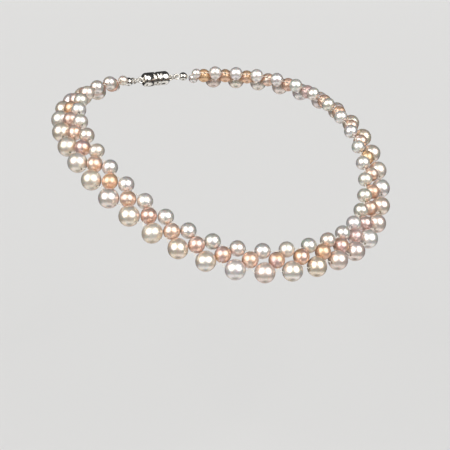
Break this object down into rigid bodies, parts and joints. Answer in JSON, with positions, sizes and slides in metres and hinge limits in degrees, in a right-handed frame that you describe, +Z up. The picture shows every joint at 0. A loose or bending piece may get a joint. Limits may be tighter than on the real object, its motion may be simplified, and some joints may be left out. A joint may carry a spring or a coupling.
{
  "type": "pearl_necklace",
  "caption": "Woven collar of freshwater pearls in three rows, small inside, tinted in the middle and large outside, which bends at every middle pearl and closes with a magnetic clasp",
  "frame": {"origin": "the middle of the neck loop, level with the middle between the front and the back of the middle row", "axes": "+Z up along the neck, -Y towards the front of the neck, +X to the right of someone who faces the wearer"},
  "size_m": [0.1452, 0.1325, 0.0637],
  "materials": {
    "white_pearl": "gloss",
    "cream_pearl": "gloss",
    "peach_pearl": "gloss",
    "silk_thread": "satin",
    "silver_findings": "polished",
    "clasp_magnet": "satin"
  },
  "bodies": {
    "front": {"front_inner_pearl": "white_pearl", "front_outer_pearl": "cream_pearl", "front_middle_pearls": "peach_pearl", "thread_a": "silk_thread", "thread_b": "silk_thread"},
    "left_unit_01": {"left_weave_unit_01": "cream_pearl"},
    "left_unit_02": {"left_weave_unit_02": "cream_pearl"},
    "left_unit_03": {"left_weave_unit_03": "cream_pearl"},
    "left_unit_04": {"left_weave_unit_04": "cream_pearl"},
    "left_unit_05": {"left_weave_unit_05": "cream_pearl"},
    "left_unit_06": {"left_weave_unit_06": "cream_pearl"},
    "left_unit_07": {"left_weave_unit_07": "cream_pearl"},
    "left_unit_08": {"left_weave_unit_08": "cream_pearl"},
    "left_unit_09": {"left_weave_unit_09": "cream_pearl"},
    "left_unit_10": {"left_weave_unit_10": "cream_pearl"},
    "left_unit_11": {"left_weave_unit_11": "cream_pearl"},
    "left_unit_12": {"left_weave_unit_12": "cream_pearl"},
    "left_unit_13": {"left_weave_unit_13": "cream_pearl"},
    "left_unit_14": {"left_weave_unit_14": "cream_pearl"},
    "left_unit_15": {"left_weave_unit_15": "cream_pearl"},
    "left_unit_16": {"left_weave_unit_16": "cream_pearl"},
    "left_unit_17": {"left_weave_unit_17": "cream_pearl"},
    "left_arm_end": {"left_closing_pearls": "white_pearl", "left_bead_tip": "silver_findings", "left_crimp_bead": "silver_findings"},
    "left_ring": {"left_jump_ring": "silver_findings"},
    "left_clasp_half": {"left_clasp_shell": "silver_findings", "left_clasp_magnet": "clasp_magnet"},
    "right_unit_01": {"right_weave_unit_01": "cream_pearl"},
    "right_unit_02": {"right_weave_unit_02": "cream_pearl"},
    "right_unit_03": {"right_weave_unit_03": "cream_pearl"},
    "right_unit_04": {"right_weave_unit_04": "cream_pearl"},
    "right_unit_05": {"right_weave_unit_05": "cream_pearl"},
    "right_unit_06": {"right_weave_unit_06": "cream_pearl"},
    "right_unit_07": {"right_weave_unit_07": "cream_pearl"},
    "right_unit_08": {"right_weave_unit_08": "cream_pearl"},
    "right_unit_09": {"right_weave_unit_09": "cream_pearl"},
    "right_unit_10": {"right_weave_unit_10": "cream_pearl"},
    "right_unit_11": {"right_weave_unit_11": "cream_pearl"},
    "right_unit_12": {"right_weave_unit_12": "cream_pearl"},
    "right_unit_13": {"right_weave_unit_13": "cream_pearl"},
    "right_unit_14": {"right_weave_unit_14": "cream_pearl"},
    "right_unit_15": {"right_weave_unit_15": "cream_pearl"},
    "right_unit_16": {"right_weave_unit_16": "cream_pearl"},
    "right_unit_17": {"right_weave_unit_17": "cream_pearl"},
    "right_arm_end": {"right_closing_pearls": "white_pearl", "right_bead_tip": "silver_findings", "right_crimp_bead": "silver_findings"},
    "right_ring": {"right_jump_ring": "silver_findings"},
    "right_clasp_half": {"right_clasp_shell": "silver_findings", "right_clasp_magnet": "clasp_magnet"}
  },
  "joints": [
    {"name": "left_hinge_01", "type": "hinge", "parent": "front", "child": "left_unit_01", "pos_m": [-0.00524, -0.05179, -0.0255], "axis": [0.0574, 0.6164, 0.7853], "range_deg": [0, 7], "deforming": ["thread_a", "thread_b"]},
    {"name": "left_hinge_02", "type": "hinge", "parent": "left_unit_01", "child": "left_unit_02", "pos_m": [-0.01558, -0.05014, -0.02528], "axis": [0.198, 0.6074, 0.7693], "range_deg": [0, 7]},
    {"name": "left_hinge_03", "type": "hinge", "parent": "left_unit_02", "child": "left_unit_03", "pos_m": [-0.02547, -0.04687, -0.02418], "axis": [0.3759, 0.57, 0.7306], "range_deg": [0, 7]},
    {"name": "left_hinge_04", "type": "hinge", "parent": "left_unit_03", "child": "left_unit_04", "pos_m": [-0.03452, -0.0422, -0.02173], "axis": [0.55, 0.5, 0.669], "range_deg": [0, 7]},
    {"name": "left_hinge_05", "type": "hinge", "parent": "left_unit_04", "child": "left_unit_05", "pos_m": [-0.04244, -0.03642, -0.01805], "axis": [0.6865, 0.4104, 0.6002], "range_deg": [0, 7]},
    {"name": "left_hinge_06", "type": "hinge", "parent": "left_unit_05", "child": "left_unit_06", "pos_m": [-0.04915, -0.0298, -0.01348], "axis": [0.7812, 0.3116, 0.5409], "range_deg": [0, 7]},
    {"name": "left_hinge_07", "type": "hinge", "parent": "left_unit_06", "child": "left_unit_07", "pos_m": [-0.05467, -0.02248, -0.00841], "axis": [0.8423, 0.207, 0.4977], "range_deg": [0, 7]},
    {"name": "left_hinge_08", "type": "hinge", "parent": "left_unit_07", "child": "left_unit_08", "pos_m": [-0.05901, -0.01456, -0.00311], "axis": [0.877, 0.0973, 0.4705], "range_deg": [0, 7]},
    {"name": "left_hinge_09", "type": "hinge", "parent": "left_unit_08", "child": "left_unit_09", "pos_m": [-0.06215, -0.00608, 0.00218], "axis": [0.8892, -0.0158, 0.4573], "range_deg": [0, 7]},
    {"name": "left_hinge_10", "type": "hinge", "parent": "left_unit_09", "child": "left_unit_10", "pos_m": [-0.064, 0.00289, 0.00725], "axis": [0.8808, -0.1298, 0.4554], "range_deg": [0, 7]},
    {"name": "left_hinge_11", "type": "hinge", "parent": "left_unit_10", "child": "left_unit_11", "pos_m": [-0.06444, 0.01226, 0.01192], "axis": [0.8535, -0.241, 0.462], "range_deg": [0, 7]},
    {"name": "left_hinge_12", "type": "hinge", "parent": "left_unit_11", "child": "left_unit_12", "pos_m": [-0.06333, 0.02185, 0.01599], "axis": [0.8102, -0.3458, 0.4734], "range_deg": [0, 7]},
    {"name": "left_hinge_13", "type": "hinge", "parent": "left_unit_12", "child": "left_unit_13", "pos_m": [-0.06055, 0.03138, 0.01932], "axis": [0.7541, -0.4423, 0.4855], "range_deg": [0, 7]},
    {"name": "left_hinge_14", "type": "hinge", "parent": "left_unit_13", "child": "left_unit_14", "pos_m": [-0.05609, 0.04052, 0.02184], "axis": [0.6876, -0.5312, 0.495], "range_deg": [0, 7]},
    {"name": "left_hinge_15", "type": "hinge", "parent": "left_unit_14", "child": "left_unit_15", "pos_m": [-0.05004, 0.04889, 0.02357], "axis": [0.6108, -0.6136, 0.5004], "range_deg": [0, 7]},
    {"name": "left_hinge_16", "type": "hinge", "parent": "left_unit_15", "child": "left_unit_16", "pos_m": [-0.0426, 0.05619, 0.02462], "axis": [0.5221, -0.6892, 0.5024], "range_deg": [0, 7]},
    {"name": "left_hinge_17", "type": "hinge", "parent": "left_unit_16", "child": "left_unit_17", "pos_m": [-0.03403, 0.06219, 0.02518], "axis": [0.4205, -0.7555, 0.5024], "range_deg": [0, 7]},
    {"name": "left_end_hinge", "type": "hinge", "parent": "left_unit_17", "child": "left_arm_end", "pos_m": [-0.0246, 0.06674, 0.02542], "axis": [0.2978, -0.8119, 0.5021], "range_deg": [0, 7]},
    {"name": "left_ring_swing", "type": "hinge", "parent": "left_arm_end", "child": "left_ring", "pos_m": [-0.01165, 0.07032, 0.0255], "axis": [0, 0.5, 0.866], "range_deg": [-15, 35]},
    {"name": "left_clasp_tilt", "type": "hinge", "parent": "left_ring", "child": "left_clasp_half", "pos_m": [-0.00785, 0.07032, 0.0255], "axis": [0, -0.866, 0.5], "range_deg": [-30, 30]},
    {"name": "right_hinge_01", "type": "hinge", "parent": "front", "child": "right_unit_01", "pos_m": [0.00524, -0.05179, -0.0255], "axis": [0.0574, -0.6164, -0.7853], "range_deg": [0, 7]},
    {"name": "right_hinge_02", "type": "hinge", "parent": "right_unit_01", "child": "right_unit_02", "pos_m": [0.01558, -0.05014, -0.02528], "axis": [0.198, -0.6074, -0.7693], "range_deg": [0, 7]},
    {"name": "right_hinge_03", "type": "hinge", "parent": "right_unit_02", "child": "right_unit_03", "pos_m": [0.02547, -0.04687, -0.02418], "axis": [0.3759, -0.57, -0.7306], "range_deg": [0, 7]},
    {"name": "right_hinge_04", "type": "hinge", "parent": "right_unit_03", "child": "right_unit_04", "pos_m": [0.03452, -0.0422, -0.02173], "axis": [0.55, -0.5, -0.669], "range_deg": [0, 7]},
    {"name": "right_hinge_05", "type": "hinge", "parent": "right_unit_04", "child": "right_unit_05", "pos_m": [0.04244, -0.03642, -0.01805], "axis": [0.6865, -0.4104, -0.6002], "range_deg": [0, 7]},
    {"name": "right_hinge_06", "type": "hinge", "parent": "right_unit_05", "child": "right_unit_06", "pos_m": [0.04915, -0.0298, -0.01348], "axis": [0.7812, -0.3116, -0.5409], "range_deg": [0, 7]},
    {"name": "right_hinge_07", "type": "hinge", "parent": "right_unit_06", "child": "right_unit_07", "pos_m": [0.05467, -0.02248, -0.00841], "axis": [0.8423, -0.207, -0.4977], "range_deg": [0, 7]},
    {"name": "right_hinge_08", "type": "hinge", "parent": "right_unit_07", "child": "right_unit_08", "pos_m": [0.05901, -0.01456, -0.00311], "axis": [0.877, -0.0973, -0.4705], "range_deg": [0, 7]},
    {"name": "right_hinge_09", "type": "hinge", "parent": "right_unit_08", "child": "right_unit_09", "pos_m": [0.06215, -0.00608, 0.00218], "axis": [0.8892, 0.0158, -0.4573], "range_deg": [0, 7]},
    {"name": "right_hinge_10", "type": "hinge", "parent": "right_unit_09", "child": "right_unit_10", "pos_m": [0.064, 0.00289, 0.00725], "axis": [0.8808, 0.1298, -0.4554], "range_deg": [0, 7]},
    {"name": "right_hinge_11", "type": "hinge", "parent": "right_unit_10", "child": "right_unit_11", "pos_m": [0.06444, 0.01226, 0.01192], "axis": [0.8535, 0.241, -0.462], "range_deg": [0, 7]},
    {"name": "right_hinge_12", "type": "hinge", "parent": "right_unit_11", "child": "right_unit_12", "pos_m": [0.06333, 0.02185, 0.01599], "axis": [0.8102, 0.3458, -0.4734], "range_deg": [0, 7]},
    {"name": "right_hinge_13", "type": "hinge", "parent": "right_unit_12", "child": "right_unit_13", "pos_m": [0.06055, 0.03138, 0.01932], "axis": [0.7541, 0.4423, -0.4855], "range_deg": [0, 7]},
    {"name": "right_hinge_14", "type": "hinge", "parent": "right_unit_13", "child": "right_unit_14", "pos_m": [0.05609, 0.04052, 0.02184], "axis": [0.6876, 0.5312, -0.495], "range_deg": [0, 7]},
    {"name": "right_hinge_15", "type": "hinge", "parent": "right_unit_14", "child": "right_unit_15", "pos_m": [0.05004, 0.04889, 0.02357], "axis": [0.6108, 0.6136, -0.5004], "range_deg": [0, 7]},
    {"name": "right_hinge_16", "type": "hinge", "parent": "right_unit_15", "child": "right_unit_16", "pos_m": [0.0426, 0.05619, 0.02462], "axis": [0.5221, 0.6892, -0.5024], "range_deg": [0, 7]},
    {"name": "right_hinge_17", "type": "hinge", "parent": "right_unit_16", "child": "right_unit_17", "pos_m": [0.03403, 0.06219, 0.02518], "axis": [0.4205, 0.7555, -0.5024], "range_deg": [0, 7]},
    {"name": "right_end_hinge", "type": "hinge", "parent": "right_unit_17", "child": "right_arm_end", "pos_m": [0.0246, 0.06674, 0.02542], "axis": [0.2978, 0.8119, -0.5021], "range_deg": [0, 7]},
    {"name": "right_ring_swing", "type": "hinge", "parent": "right_arm_end", "child": "right_ring", "pos_m": [0.01165, 0.07032, 0.0255], "axis": [0, -0.5, -0.866], "range_deg": [-15, 35]},
    {"name": "right_clasp_tilt", "type": "hinge", "parent": "right_ring", "child": "right_clasp_half", "pos_m": [0.00785, 0.07032, 0.0255], "axis": [0, 0.866, -0.5], "range_deg": [-30, 30]}
  ]
}
